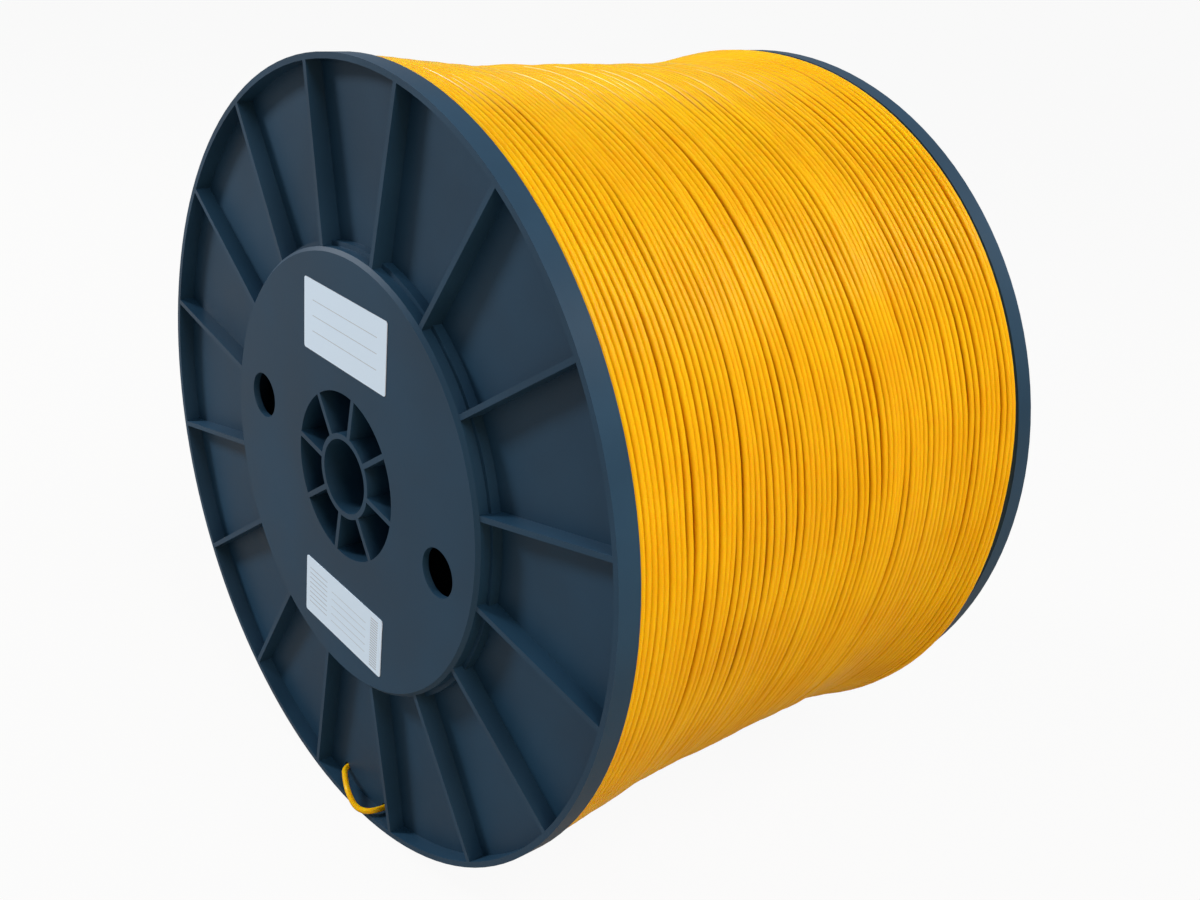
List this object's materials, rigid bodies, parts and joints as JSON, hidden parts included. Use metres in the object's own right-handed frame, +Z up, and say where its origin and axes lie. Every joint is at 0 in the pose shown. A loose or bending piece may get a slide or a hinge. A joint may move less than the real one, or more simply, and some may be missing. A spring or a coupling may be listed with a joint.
{
  "type": "string reel",
  "caption": "Large delivery reel: ribbed plastic flanges with a spindle bore and drive holes, wound full with an amber plastic strand.",
  "frame": {"origin": "centre of the spindle bore, midway between the two flanges", "axes": "+Y along the reel's axis from the labelled front flange to the rear flange, +Z up, +X to the right seen from the front"},
  "size_m": [0.355, 0.2622, 0.355],
  "materials": {
    "reel_plastic": "moulded polystyrene, satin, near black with a cool cast",
    "strand": "amber plastic strand, smooth",
    "label_paper": "white self-adhesive paper, matt"
  },
  "bodies": {
    "root": {"front_flange": "reel_plastic", "rear_flange": "reel_plastic", "barrel": "reel_plastic", "winding_core": "strand", "winding_outer_layer": "strand", "filament_tail": "strand", "upper_label": "label_paper", "lower_label": "label_paper"}
  },
  "joints": []
}
